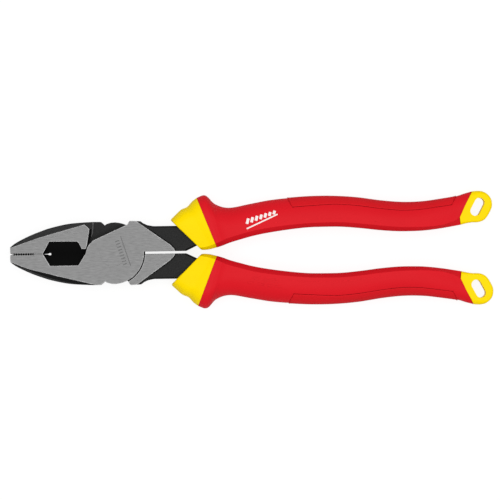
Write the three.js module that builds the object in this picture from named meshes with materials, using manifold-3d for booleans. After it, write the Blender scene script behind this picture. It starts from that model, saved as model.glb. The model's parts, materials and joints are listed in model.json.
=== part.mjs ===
// Insulated lineman's pliers, nominal 9 inch size, lying flat with the jaws closed.
//
// Drawing frame, in millimetres: the pivot axis is Z through the origin, X runs from the nose (-X) to the
// handle ends (+X), Y runs across both handles, and Z = 0 is the lap plane between the two halves.
// The tool is drawn as one half: its jaw lies on -Y, it crosses in front of the other half at the joint, and
// its handle lies on +Y. The other half is the same one turned by 180 degrees about X.
// The exported group lifts the tool so that its lowest face lies on Z = 0 below the middle of its outline.
import * as THREE from 'three';
import { mergeVertices } from 'three/addons/utils/BufferGeometryUtils.js';
import Module from 'manifold-3d';

const wasm = await Module();
wasm.setup();

// ---------------------------------------------------------------- driving dimensions
const NOSE_X = -52.4;
const TAIL_X = 193.6;
const HEAD_THICK = 15.5;
const FACE_Z = HEAD_THICK / 2;
const CLEAR_Z = FACE_Z + 6; // past every face, for cutters
const FAR = 300; // past the whole tool, for cutters
const LAP_GAP = 0.3; // between the two lapped plates
const MEETING_GAP = 0.2; // between the closed jaws
const MEETING_Y = -MEETING_GAP / 2;

const DISC_R = 15.55; // outer edge of the lapped joint plate
const SHOULDER_R = 16.4; // hollow shoulder that the other half's plate turns in
const RIVET_R = 5.5;
const RIVET_HEAD_R = 6.6;
const RIVET_HEAD_DEPTH = 1.6;
const RIVET_CLEARANCE = 0.1;
const RIVET_SEGMENTS = 48;

const TANG_THICK = 10.6; // where the tang shows between the joint and the guard
const HIDDEN_TANG_THICK = 8.4; // inside the handle
const SLOT_HALF = 0.6; // half of the gap between the two tangs

const TOOTH_PITCH = 1.224;
const TOOTH_COUNT = 9;
const TOOTH_START_X = -51.0;
const TOOTH_CREST_Y = -0.3;
const TOOTH_ROOT_Y = -0.72;

const CUTTER_LAND = 0.3; // half thickness of the cutting edge
const RELIEF_DEPTH = 0.55; // hollow in front of the cutting edges

const GRIP_THICK = 20.5;
const FLARE_THICK = 24;
const GUARD_RIM_THICK = 19;
const RED_WALL = 2.4; // outer insulation over the inner one
const TANG_INSET = 4.2; // both layers of insulation beside the tang
const TANG_FROM = 5; // curve point of the grip, counted from the flare, where the tang starts to follow it
const TANG_TO = 21; // curve point where the tang ends
const LOOP_FROM = 22; // curve point where the sleeve ends and the root of the hang loop starts
const INLAY_DEPTH = 1.2;
const PART_GAP = 0.3; // between moulded pieces that touch on the real tool
const LOOP_THICK = 12.4;
const SLOT_WIDTH = 5;
const SLOT_LENGTH = 9.8;
const SLOT_ANGLE = THREE.MathUtils.degToRad(62);
const SLOT_CENTRE = [186.3, 20.9];

const CURVE_STEPS = 3; // divisions between two points of an outline curve
const STATION_STEPS = 2; // divisions between two handle stations
const SECTION_POINTS = 16; // around a handle section
const SECTION_POWER = 3; // superellipse exponent of a handle section

// ---------------------------------------------------------------- outlines of the steel half
// Curved back of the jaw, from the nose to the heel.
const JAW_BACK = [[-43.3, -9.2], [-32.5, -13.2], [-21.8, -15.4], [-10.4, -16.1]];
const NOSE_CORNER = [NOSE_X, -3.7];
// The notch between the jaw's heel and the joint plate stops the other half at full opening.
const HEEL = [[-6.3, -16], [-4.9, -14.8], [-4.5, -14.1]];
const PLATE_LEAD_IN = [[-3.2, -14.8], [-1, -15.35], [2.5, -15.35]];
// Edge of the joint plate that faces the other jaw, from the shoulder to the cutter.
const PLATE_EDGE = [[6.9, 14.2], [-6.5, 8.25], [-9.85, 6.8], [-12, 4.7], [-13.2, 2.8], [-13.9, 0]];
const SHOULDER = [[15.6, 14.95], [14.1, 16], [9.2, 16.1], [8.1, 15.7], [7.5, 14.5]];
// The tang between the joint and the handle. Inside the handle it follows the handle's own edges.
const TANG_OUTER = [[44, 15], [33, 13.55], [20.8, 13.55], [17.5, 14.1]];
const TANG_INNER = [[37.3, SLOT_HALF], [43.3, 3.5], [52, 6.8]];

// Where the ground faces end: on the jaw's outer edge, front and rear, and across the tang.
const FRONT_BEVEL = [NOSE_CORNER, [-43.9, -7.25], [-9.6, -15.9]];
const REAR_BEVEL = [[NOSE_X, -3.55], [-37, -8.7], [-14.3, -14.9]];
const REAR_CORNER = [[-14.3, -14.9], [-11.8, -12.5]];
const REAR_HEEL_EDGE = [[-11.8, -12.5], [-13, -5.6]];
const BEVEL_SLOPE = 1;
const CORNER_SLOPE = 2;
const HEEL_SLOPE = 5;
const TANG_FACE_EDGE = [[12.4, 16], [30.6, 3]];
const TANG_FACE_TIP = [[30.2, 3.3], [31.9, 0.3]];
const TANG_SLOPE = 3;
const TANG_STEP = [[38, 16], [47.5, 3]]; // inside the guard, where the tang gets thinner

// Hexagonal cutter opening, as the half of it that lies in this half.
const FRONT_OPENING = [[-35.8, 0], [-32.1, -6], [-17.75, -5.95], [-13.9, 0.1], [-13.6, 1]];
const REAR_OPENING = [
  [-35.8, 0], [-32.4, -6.4], [-18.2, -6.2], [-17.4, -5.6], [-15.9, -2.4], [-12, -2.4], [-12, 1],
];
const OPENING_WALL = 2.1; // straight wall below the ground face
const OPENING_DEPTH = 6;
const REAR_JAW_END = [[-10.4, -16.1], [-11, -9.8], [-12.6, -5.6], [-13.9, -2.4], [-14.3, MEETING_Y]];
const CUTTER_RELIEF = [[-35.4, -0.25], [-33.2, -0.45], [-32.4, -RELIEF_DEPTH - 0.25], [-31.6, -RELIEF_DEPTH]];

// ---------------------------------------------------------------- handle stations
// Each station is a slanted section: its point on the outer edge, its point on the inner edge, its thickness.
// Curves run through the stations.
const GUARD_STATIONS = [
  [[29.9, 16.6], [45.4, 1], GUARD_RIM_THICK],
  [[35.3, 21.8], [49.4, 1.3], 20.8],
  [[38.8, 23.45], [51, 1.6], 22],
  [[43.1, 27.65], [53.1, 2.2], FLARE_THICK],
];
const GRIP_STATIONS = [
  [[43.1, 27.65], [53.1, 2.2], FLARE_THICK],
  [[46.6, 29.1], [54.7, 2.75], 23.7],
  [[48.6, 28.2], [56.3, 3.3], 23.2],
  [[52.6, 24.15], [59, 4.4], 21.8],
  [[59.5, 22.35], [63.5, 5.7], 20.8],
  [[71, 24.25], [72, 7.9], GRIP_THICK],
  [[86, 26.5], [86, 10.3], GRIP_THICK],
  [[104, 27.6], [104, 11.7], GRIP_THICK],
  [[122, 26.75], [122, 11.1], GRIP_THICK],
  [[138, 24.6], [138, 9.5], GRIP_THICK],
  [[152, 23.8], [152, 9.05], 19.8],
  [[168, 25.4], [168, 10.4], 16.4],
  [[183.4, 28.8], [177.1, 11.8], 13],
];
// Soft inlay on the outer side of the grip: its edge on the flat face, ending in the outer silhouette.
const INLAY_EDGE = [[91.7, 21.9], [111, 23.3], [125, 22.2], [148, 19.6], [160, 20.1], [173.3, 22.1]];
const INLAY_ENDS = [[88.4, 32], [176.6, 32]];
const LOOP_OUTLINE = [
  [188.1, 28.8], [191.9, 26.5], [193.6, 21.8], [191.9, 17.2], [188.6, 13.7], [184, 13], [180.5, 12.5],
];

// ---------------------------------------------------------------- building blocks
const points = (list) => list.map(([x, y]) => new THREE.Vector2(x, y));

function toSolid(geometry) {
  const bare = new THREE.BufferGeometry();
  bare.setAttribute('position', geometry.getAttribute('position'));
  bare.setIndex(geometry.getIndex());
  const merged = mergeVertices(bare, 1e-4);
  return new wasm.Manifold(new wasm.Mesh({
    numProp: 3,
    vertProperties: merged.getAttribute('position').array,
    triVerts: new Uint32Array(merged.getIndex().array),
  }));
}

function toGeometry(solid) {
  const { numProp, numVert, vertProperties, triVerts } = solid.getMesh();
  const positions = new Float32Array(numVert * 3);
  for (let i = 0; i < numVert; i++) {
    positions.set(vertProperties.subarray(i * numProp, i * numProp + 3), i * 3);
  }
  const geometry = new THREE.BufferGeometry();
  geometry.setAttribute('position', new THREE.BufferAttribute(positions, 3));
  geometry.setIndex(new THREE.BufferAttribute(triVerts, 1));
  geometry.computeVertexNormals();
  return geometry;
}

// A solid over an outline in XY. Its floor and ceiling are heights, or functions of x and y.
function slab(outline, floor, ceiling, holes = []) {
  const shape = new THREE.Shape(outline);
  shape.holes = holes.map((hole) => new THREE.Path(hole));
  const geometry = new THREE.ExtrudeGeometry(shape, { depth: 1, bevelEnabled: false });
  const position = geometry.getAttribute('position');
  const height = (level, x, y) => (typeof level === 'function' ? level(x, y) : level);
  for (let i = 0; i < position.count; i++) {
    const [x, y] = [position.getX(i), position.getY(i)];
    position.setZ(i, height(position.getZ(i) > 0.5 ? ceiling : floor, x, y));
  }
  return toSolid(geometry);
}

const segments = (line) => line.slice(1).map((end, i) => [line[i], end]);

// The same cut on the front face and on the rear face.
function cutFaces(solid, outline, level) {
  const below = typeof level === 'function' ? (x, y) => -level(x, y) : -level;
  return solid.subtract(slab(outline, level, CLEAR_Z)).subtract(slab(outline, -CLEAR_Z, below));
}

// A strip beside the line from a to b, on its right, between two distances, and run past both ends.
function strip([ax, ay], [bx, by], near, far, overrun) {
  const along = new THREE.Vector2(bx - ax, by - ay).normalize();
  const right = new THREE.Vector2(along.y, -along.x);
  const at = (base, run, out) => base.clone().addScaledVector(along, run).addScaledVector(right, out);
  const [a, b] = points([[ax, ay], [bx, by]]);
  return [at(a, -overrun, near), at(b, overrun, near), at(b, overrun, far), at(a, -overrun, far)];
}

// Height of a plane that meets the ground face on the line from a to b and falls away on its right.
function fall([ax, ay], [bx, by], slope, top = FACE_Z) {
  const along = new THREE.Vector2(bx - ax, by - ay).normalize();
  return (x, y) => top - slope * ((x - ax) * along.y - (y - ay) * along.x);
}

// A closed body through rings of points. Every ring is flat and convex, so a fan closes each end.
function loft(rings) {
  const count = rings[0].length;
  const positions = rings.flat().flatMap((p) => [p.x, p.y, p.z]);
  const faces = [];
  for (let ring = 0; ring + 1 < rings.length; ring++) {
    for (let i = 0; i < count; i++) {
      const next = (i + 1) % count;
      const [a, b] = [ring * count + i, ring * count + next];
      faces.push(a, b, b + count, a, b + count, a + count);
    }
  }
  const last = (rings.length - 1) * count;
  for (let i = 1; i + 1 < count; i++) {
    faces.push(0, i + 1, i, last, last + i, last + i + 1);
  }
  const geometry = new THREE.BufferGeometry();
  geometry.setAttribute('position', new THREE.Float32BufferAttribute(positions, 3));
  geometry.setIndex(faces);
  return toSolid(geometry);
}

// ---------------------------------------------------------------- handle stations, in use
function curveThrough(stations) {
  const outer = new THREE.SplineCurve(points(stations.map((station) => station[0])));
  const inner = new THREE.SplineCurve(points(stations.map((station) => station[1])));
  const thick = new THREE.SplineCurve(points(stations.map((station, i) => [i, station[2]])));
  const count = (stations.length - 1) * STATION_STEPS;
  return Array.from({ length: count + 1 }, (_, i) => {
    const t = i / count;
    return [outer.getPoint(t), inner.getPoint(t), thick.getPoint(t).y];
  });
}

// A station with every side moved inwards by a wall.
function inset([outer, inner, thick], wall) {
  const inward = inner.clone().sub(outer).setLength(wall);
  return [outer.clone().add(inward), inner.clone().sub(inward), thick - 2 * wall];
}

// A station moved along the handle by a distance, for a gap or an overlap at a boundary.
function moved([outer, inner, thick], distance) {
  const across = outer.clone().sub(inner).normalize();
  const along = new THREE.Vector2(across.y, -across.x).multiplyScalar(distance);
  return [outer.clone().add(along), inner.clone().add(along), thick];
}

const HANDLE = curveThrough(GRIP_STATIONS);

// ---------------------------------------------------------------- steel half
function jawBack(path) {
  path.moveTo(...NOSE_CORNER);
  path.splineThru(points(JAW_BACK));
}

function jawMeetingLine(path) {
  path.lineTo(TOOTH_START_X, MEETING_Y);
  path.lineTo(NOSE_X, -0.38);
}

// The tang's edges from the joint to its end inside the handle, and back.
function tangEdges(grow = 0) {
  const stations = [...HANDLE.slice(TANG_FROM, TANG_TO), moved(HANDLE[TANG_TO], grow)];
  const inHandle = stations.map((station) => inset(station, TANG_INSET - grow));
  const lift = ([x, y], by) => [x, y + by];
  return [
    ...TANG_INNER.map((corner) => lift(corner, -grow)),
    ...inHandle.map(([, inner]) => [inner.x, inner.y]),
    ...inHandle.map(([outer]) => [outer.x, outer.y]).reverse(),
    ...TANG_OUTER.map((corner) => lift(corner, grow)),
  ];
}

// Jaw, joint plate, shoulder and tang, in front of the lap plane.
function frontPlate() {
  const path = new THREE.Path();
  jawBack(path);
  for (const corner of [...HEEL, ...PLATE_LEAD_IN]) path.lineTo(...corner);
  path.absarc(0, 0, DISC_R, -1.41, Math.asin(SLOT_HALF / DISC_R), false);
  for (const corner of [...tangEdges(), ...SHOULDER, ...PLATE_EDGE]) path.lineTo(...corner);
  path.lineTo(PLATE_EDGE.at(-1)[0], MEETING_Y);
  jawMeetingLine(path);
  return slab(path.getPoints(CURVE_STEPS * 2), LAP_GAP / 2, FACE_Z);
}

// Rear thickness of the jaw, which stops short of the other half's joint plate.
function rearJaw() {
  const path = new THREE.Path();
  jawBack(path);
  for (const corner of REAR_JAW_END) path.lineTo(...corner);
  jawMeetingLine(path);
  return slab(path.getPoints(CURVE_STEPS * 2), -FACE_Z, LAP_GAP);
}

// Rear thickness of the shoulder and tang, hollowed round the other half's joint plate.
function rearTang() {
  const path = new THREE.Path();
  const [tip] = SHOULDER.slice(-1);
  path.absarc(0, 0, SHOULDER_R, Math.atan2(tip[1], tip[0]), Math.asin(SLOT_HALF / SHOULDER_R), true);
  for (const corner of [...tangEdges(), ...SHOULDER]) path.lineTo(...corner);
  return slab(path.getPoints(CURVE_STEPS * 4), -FACE_Z, LAP_GAP);
}

// Slopes along the back of the jaw, outside the ground faces, and round the rear heel.
function bevelJaw(solid) {
  const cuts = [
    ...segments(FRONT_BEVEL).map((line) => [line, BEVEL_SLOPE, 0.8, 1]),
    ...segments(REAR_BEVEL).map((line) => [line, BEVEL_SLOPE, 0.8, -1]),
    [REAR_CORNER, CORNER_SLOPE, 3, -1],
    [REAR_HEEL_EDGE, HEEL_SLOPE, 0.3, -1],
  ];
  for (const [[a, b], slope, overrun, side] of cuts) {
    const band = strip(a, b, -0.01, 6, overrun);
    const plane = fall(a, b, slope);
    const rear = (x, y) => Math.min(-plane(x, y), -LAP_GAP);
    solid = solid.subtract(side > 0 ? slab(band, plane, CLEAR_Z) : slab(band, -CLEAR_Z, rear));
  }
  return solid;
}

// The tang lies below the ground faces, beyond a slope that runs diagonally across it.
function thinTang(solid) {
  const drop = (HEAD_THICK - TANG_THICK) / 2;
  const run = drop / TANG_SLOPE;
  for (const [b, a] of [TANG_FACE_EDGE, TANG_FACE_TIP]) {
    solid = cutFaces(solid, strip(a, b, -0.01, run, FAR), fall(a, b, TANG_SLOPE));
    solid = cutFaces(solid, strip(a, b, run, FAR, FAR), TANG_THICK / 2);
  }
  const [front, back] = TANG_STEP;
  return cutFaces(solid, strip(back, front, 0, FAR, FAR), HIDDEN_TANG_THICK / 2);
}

// Recesses that slope down to the cutting edge from both faces, and the hollow ahead of the edge.
function cutOpening(solid) {
  const slope = (FACE_Z - OPENING_WALL - CUTTER_LAND) / OPENING_DEPTH;
  const bevel = (x, y) => CUTTER_LAND - (y - MEETING_Y) * slope;
  const open = (outline) => points([...outline, [outline[0][0], 1]]);
  const relief = points([...CUTTER_RELIEF, [-31.6, 1], [-35.4, 1]]);
  return solid
    .subtract(slab(open(FRONT_OPENING), bevel, CLEAR_Z))
    .subtract(slab(open(REAR_OPENING), -CLEAR_Z, (x, y) => -bevel(x, y)))
    .subtract(slab(relief, -CLEAR_Z, CLEAR_Z));
}

// Serrations across the nose.
function cutTeeth(solid) {
  const end = TOOTH_START_X + TOOTH_COUNT * TOOTH_PITCH;
  const outline = [[TOOTH_START_X, TOOTH_CREST_Y]];
  for (let i = 0; i < TOOTH_COUNT; i++) {
    const x = TOOTH_START_X + i * TOOTH_PITCH;
    outline.push([x + 0.3 * TOOTH_PITCH, TOOTH_ROOT_Y], [x + 0.7 * TOOTH_PITCH, TOOTH_ROOT_Y]);
    outline.push([x + TOOTH_PITCH, TOOTH_CREST_Y]);
  }
  outline.push([end + 0.4, MEETING_Y], [end + 0.4, 1], [NOSE_X - 1, 1], [NOSE_X - 1, TOOTH_CREST_Y - 0.1]);
  return solid.subtract(slab(points(outline), -CLEAR_Z, CLEAR_Z));
}

function lathe(profile) {
  const geometry = new THREE.LatheGeometry(points(profile), RIVET_SEGMENTS);
  geometry.rotateX(Math.PI / 2);
  return geometry;
}

// Rivet outline from its axis at one end to its axis at the other, grown sideways and run past the faces.
function rivetProfile(grow, past) {
  const flare = (RIVET_HEAD_R - RIVET_R) / RIVET_HEAD_DEPTH;
  const [shank, cap] = [RIVET_R + grow, RIVET_HEAD_R + grow + past * flare];
  const [neck, end] = [FACE_Z - RIVET_HEAD_DEPTH, FACE_Z + past];
  return [[0, -end], [cap, -end], [shank, -neck], [shank, neck], [cap, end], [0, end]];
}

function steelHalf() {
  let solid = frontPlate().add(rearJaw()).add(rearTang());
  solid = bevelJaw(solid);
  solid = thinTang(solid);
  solid = cutOpening(solid);
  solid = cutTeeth(solid);
  return solid.subtract(toSolid(lathe(rivetProfile(RIVET_CLEARANCE, 1))));
}

// ---------------------------------------------------------------- moulded handle
// A rounded-box section, turned so that a flat facet lies on its top and bottom.
const SECTION = Array.from({ length: SECTION_POINTS }, (_, i) => {
  const angle = ((i + 0.5) / SECTION_POINTS) * 2 * Math.PI;
  const round = (v) => Math.sign(v) * Math.abs(v) ** (2 / SECTION_POWER);
  return [round(Math.cos(angle)), round(Math.sin(angle))];
});
const SECTION_TOP = Math.max(...SECTION.map(([, height]) => height));
const SECTION_SIDE = Math.max(...SECTION.map(([across]) => across));

function handleRing(station, wall) {
  const [outer, inner, thick] = inset(station, wall);
  const middle = outer.clone().lerp(inner, 0.5);
  const half = outer.clone().sub(middle);
  return SECTION.map(([across, height]) => {
    const p = middle.clone().addScaledVector(half, across / SECTION_SIDE);
    return new THREE.Vector3(p.x, p.y, (thick * height) / 2 / SECTION_TOP);
  });
}

const handleBody = (stations, wall = 0) => loft(stations.map((station) => handleRing(station, wall)));

// The space inside the handle for the steel tang.
function tangSpace() {
  const outline = points(tangEdges(PART_GAP));
  const deep = HIDDEN_TANG_THICK / 2 + PART_GAP;
  const wide = TANG_THICK / 2 + PART_GAP;
  const mouth = slab(strip(...TANG_STEP, -1, FAR, FAR), -CLEAR_Z, CLEAR_Z);
  return slab(outline, -deep, deep).add(slab(outline, -wide, wide).intersect(mouth));
}

// Yellow layer: the guard in front of the grip and a sleeve along the tang.
function innerInsulation() {
  const guard = curveThrough(GUARD_STATIONS);
  guard.push(moved(guard.pop(), -PART_GAP));
  const sleeve = [moved(HANDLE[0], -2), ...HANDLE.slice(0, LOOP_FROM), moved(HANDLE[LOOP_FROM], -PART_GAP)];
  return handleBody(guard).add(handleBody(sleeve, RED_WALL + PART_GAP)).subtract(tangSpace());
}

// Flat loop with a slot behind the grip, and its root inside the grip.
function hangLoop() {
  const end = HANDLE.at(-1);
  const [outer, inner] = moved(end, PART_GAP);
  const outline = new THREE.Path();
  outline.moveTo(inner.x, inner.y);
  outline.lineTo(outer.x, outer.y);
  outline.splineThru(points(LOOP_OUTLINE));
  const slot = new THREE.Path();
  const reach = (SLOT_LENGTH - SLOT_WIDTH) / 2;
  const [dx, dy] = [Math.cos(SLOT_ANGLE) * reach, Math.sin(SLOT_ANGLE) * reach];
  const [cx, cy] = SLOT_CENTRE;
  const right = SLOT_ANGLE - Math.PI / 2;
  slot.absarc(cx + dx, cy + dy, SLOT_WIDTH / 2, right, right + Math.PI, false);
  slot.absarc(cx - dx, cy - dy, SLOT_WIDTH / 2, right + Math.PI, right + 2 * Math.PI, false);
  const hole = slot.getPoints(CURVE_STEPS * 2);
  const loop = slab(outline.getPoints(CURVE_STEPS), -LOOP_THICK / 2, LOOP_THICK / 2, [hole]);
  const root = [...HANDLE.slice(LOOP_FROM), moved(end, 1)];
  return loop.add(handleBody(root, RED_WALL + PART_GAP));
}

// The outline of the inlay on the flat face, closed outside the handle.
function inlayRegion(grow) {
  const edge = INLAY_EDGE.map(([x, y]) => [x, y - grow]);
  edge[0][0] -= grow;
  edge.at(-1)[0] += grow;
  const [left, right] = INLAY_ENDS;
  return slab(points([...edge, [right[0] + grow, right[1]], [left[0] - grow, left[1]]]), -CLEAR_Z, CLEAR_Z);
}

function outerGrip() {
  const bore = [moved(HANDLE[0], -2), ...HANDLE, moved(HANDLE.at(-1), 2)];
  const pocket = inlayRegion(PART_GAP).subtract(handleBody(HANDLE, INLAY_DEPTH + PART_GAP));
  return handleBody(HANDLE).subtract(handleBody(bore, RED_WALL)).subtract(pocket);
}

function gripInlay() {
  return inlayRegion(0).intersect(handleBody(HANDLE)).subtract(handleBody(HANDLE, INLAY_DEPTH));
}

// ---------------------------------------------------------------- assembly
const MATERIALS = {
  steel: new THREE.MeshStandardMaterial({ color: 0x929292, roughness: 0.42, metalness: 0.9 }),
  rivet: new THREE.MeshStandardMaterial({ color: 0x8e8e8e, roughness: 0.45, metalness: 0.9 }),
  inner: new THREE.MeshStandardMaterial({ color: 0xffde00, roughness: 0.5, metalness: 0 }),
  outer: new THREE.MeshStandardMaterial({ color: 0xde2630, roughness: 0.6, metalness: 0 }),
  inlay: new THREE.MeshStandardMaterial({ color: 0xc81f2b, roughness: 0.7, metalness: 0 }),
};

function addPiece(group, name, geometry, material) {
  const mesh = new THREE.Mesh(geometry, material);
  mesh.name = name;
  group.add(mesh);
}

const steel = toGeometry(steelHalf());
const inner = toGeometry(innerInsulation());
const loop = toGeometry(hangLoop());
const outer = toGeometry(outerGrip());
const inlay = toGeometry(gripInlay());

const tool = new THREE.Group();
const frontHalf = new THREE.Group();
const rearHalf = new THREE.Group();
rearHalf.rotation.x = Math.PI;
for (const [half, jaw, handle] of [[frontHalf, 'front', 'upper'], [rearHalf, 'rear', 'lower']]) {
  addPiece(half, `${jaw}_jaw_and_tang`, steel, MATERIALS.steel);
  addPiece(half, `${handle}_inner_insulation`, inner, MATERIALS.inner);
  addPiece(half, `${handle}_hang_loop`, loop, MATERIALS.inner);
  addPiece(half, `${handle}_outer_grip`, outer, MATERIALS.outer);
  addPiece(half, `${handle}_grip_inlay`, inlay, MATERIALS.inlay);
  tool.add(half);
}
addPiece(tool, 'pivot_rivet', lathe(rivetProfile(0, 0)), MATERIALS.rivet);
tool.position.set(-(NOSE_X + TAIL_X) / 2, 0, FLARE_THICK / 2);

const pliers = new THREE.Group();
pliers.add(tool);
export default pliers;
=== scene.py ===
import json
import math

import bmesh
import bpy
import numpy as np
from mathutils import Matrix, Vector
from mathutils.bvhtree import BVHTree


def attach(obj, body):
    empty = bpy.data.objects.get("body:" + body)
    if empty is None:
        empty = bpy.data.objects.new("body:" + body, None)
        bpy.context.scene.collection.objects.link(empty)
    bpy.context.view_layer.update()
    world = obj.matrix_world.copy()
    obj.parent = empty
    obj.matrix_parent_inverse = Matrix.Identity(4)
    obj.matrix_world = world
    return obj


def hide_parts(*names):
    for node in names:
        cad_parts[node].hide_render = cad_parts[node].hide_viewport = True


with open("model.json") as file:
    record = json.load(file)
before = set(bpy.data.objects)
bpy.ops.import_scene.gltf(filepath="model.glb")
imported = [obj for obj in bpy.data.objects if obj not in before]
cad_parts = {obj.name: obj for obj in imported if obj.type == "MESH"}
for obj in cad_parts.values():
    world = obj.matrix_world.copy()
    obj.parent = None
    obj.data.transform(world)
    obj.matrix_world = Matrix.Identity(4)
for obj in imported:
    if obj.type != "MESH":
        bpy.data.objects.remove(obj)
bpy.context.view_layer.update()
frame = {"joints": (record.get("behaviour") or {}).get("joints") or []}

MM = 0.001
PIVOT = Vector(frame["joints"][0]["pos_m"])

# -------------------- sizes of the steel half
NOSE_X = -52.4
FACE_Z = 7.75
# Cutting tools run past the faces to CLEAR_Z and past everything at FAR, and overlap what they meet.
CLEAR_Z = FACE_Z + 6
FAR = 300
OVERLAP = 0.01
LAP = 0.15
MEETING_Y = -0.002
# The meeting faces lean by this much per millimetre of height, less and less down to LEAN_DEPTH.
MEETING_LEAN = 0.02
LEAN_DEPTH = 1.5
DISC_R = 15.8
SLOT_START = 16.25
SHOULDER_R = 16.35
RIVET_R = 6.6
RIVET_HOLE_R = 6.615
TANG_HALF = 5.3
HIDDEN_TANG_HALF = 4.2
TANG_SLOPE = 5
TANG_CHAMFER = 0.9
SLOT_HALF = 0.6
SLOT_STEP_Z = 3
TOOTH_PITCH = 1.224
TOOTH_COUNT = 9
TOOTH_START_X = -51.0
TOOTH_CREST_Y = -0.06
TOOTH_ROOT_Y = -0.57
# The grooves shift along the jaw by this many pitches between the lap plane and a face. More of them than
# there are teeth are drawn, so that the slant leaves no gap at the row's ends.
TOOTH_SLANT = 2
SPARE_TEETH = 6
CUTTER_LAND = 0.3
EDGE_WIDTH = 0.28
EDGE_DROP = 0.1

# -------------------- outlines of the steel half
# A corner may have a third number, the radius that rounds it.
NOSE_CORNER = (NOSE_X, -3.7)
NOSE_LIP = (NOSE_X, -0.38, 0.3)
NOSE_GAP_Y = -0.26
JAW_BACK = [
    NOSE_CORNER, (-49.5, -5.95), (-43.3, -9.15), (-37.2, -11.6), (-31.1, -13.55), (-21.9, -15.4),
    (-10.4, -16.15),
]
HEEL = [(-6.2, -16.1, 0.9), (-4.7, -14.7, 0.4), (-4.4, -14.2, 0.3), (-3.2, -15.0, 1.0), (-1.0, -15.65)]
PLATE_EDGE = [
    (6.9, 14.25, 0.5), (-6.5, 8.25, 2), (-9.85, 6.8, 3), (-12.0, 4.7, 3), (-13.2, 2.8, 1.5),
    (-13.75, 0.9, 0.3), (-13.95, 0.0),
]
SHOULDER = [(17.6, 14.1, 5), (15.4, 15.1, 3), (14.1, 16.15, 1), (8.7, 16.4, 0.8), (7.5, 14.5, 0.4)]
TANG_OUTER = [(44, 15), (33, 13.5), (20.8, 13.5, 6)]
TANG_INNER = [(37.3, SLOT_HALF, 2), (43.3, 3.5), (52, 6.8)]
TANG_MOUTH = ((47.5, 3), (38, 16))

# Rows along the black crescent on the jaw's back: the edge of the ground face, the ridge between the
# crescent's two facets, the jaw's back, and the drops of the ridge and the back below the ground face.
FRONT_CRESCENT = [
    (-53.4, -3.26, -53.4, -3.28, -53.4, -3.3, 0.02, 0.04),
    (-52.4, -3.68, -52.4, -3.7, -52.4, -3.72, 0.02, 0.04),
    (-43.9, -7.25, -44.1, -7.5, -43.3, -9.15, 0.4, 1.5),
    (-37.5, -8.97, -38.2, -10.1, -37.2, -11.6, 1.6, 2.7),
    (-29.0, -11.2, -29.4, -13.1, -29.0, -14.1, 2.6, 3.3),
    (-18.4, -13.8, -18.4, -15.4, -18.4, -15.85, 2.2, 2.5),
    (-9.6, -15.95, -9.4, -16.1, -9.4, -16.2, 0.2, 0.3),
    (-7.5, -16.5, -7.5, -16.6, -7.5, -16.7, 0.1, 0.2),
]
REAR_CRESCENT = [
    (-53.4, -3.2, -53.4, -3.28, -53.4, -3.3, 0.08, 0.12),
    (-52.4, -3.52, -52.4, -3.66, -52.4, -3.7, 0.12, 0.2),
    (-43.3, -6.6, -43.3, -8.75, -43.3, -9.15, 1.95, 2.8),
    (-37.2, -8.64, -37.2, -11.2, -37.2, -11.6, 2.3, 3.3),
    (-29.0, -10.9, -29.0, -13.7, -29.0, -14.1, 2.5, 3.4),
    (-21.9, -12.82, -21.9, -14.95, -21.9, -15.35, 1.9, 2.8),
    (-14.3, -14.9, -14.3, -15.8, -14.3, -16.1, 0.8, 1.5),
    (-9.2, -16.25, -9.2, -16.3, -9.2, -16.4, 0.1, 0.2),
]
# Facets at the rear jaw's corner and along its heel: the edge's two ends, the facet's width, how far it runs
# past the ends, and its slope.
REAR_FACETS = [
    ((-14.3, -14.9), (-11.8, -12.5), 3.7, 3, 2),
    ((-11.8, -12.5), (-13.3, -3.88), 1.54, 0.02, 5),
]
TANG_FACE_EDGE = [(31.95, 0.3), (31.2, 1.9), (29.3, 3.93), (12.4, 16)]

FRONT_OPENING = [(-35.8, 0.0), (-32.1, -6.0, 0.6), (-17.75, -5.95, 0.6), (-13.95, 0.0), (-14.3, 1.0)]
REAR_OPENING = [
    (-35.8, 0.0), (-32.4, -6.4, 0.6), (-18.2, -6.2, 1), (-17.4, -5.5, 0.8), (-15.9, -2.4, 0.3), (-12, -2.4),
    (-12, 1.0),
]
OPENING_WALL = 2.1
OPENING_DEPTH = 6.0
REAR_JAW_END = [(-10.4, -16.1), (-11, -9.8), (-12.6, -5.6), (-13.9, -2.4), (-14.3, MEETING_Y)]
CUTTER_RELIEF = [(-35.2, -0.07), (-33.5, -0.14), (-32.6, -0.58), (-31.8, -0.44), (-31.8, 1), (-35.2, 1)]

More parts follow.
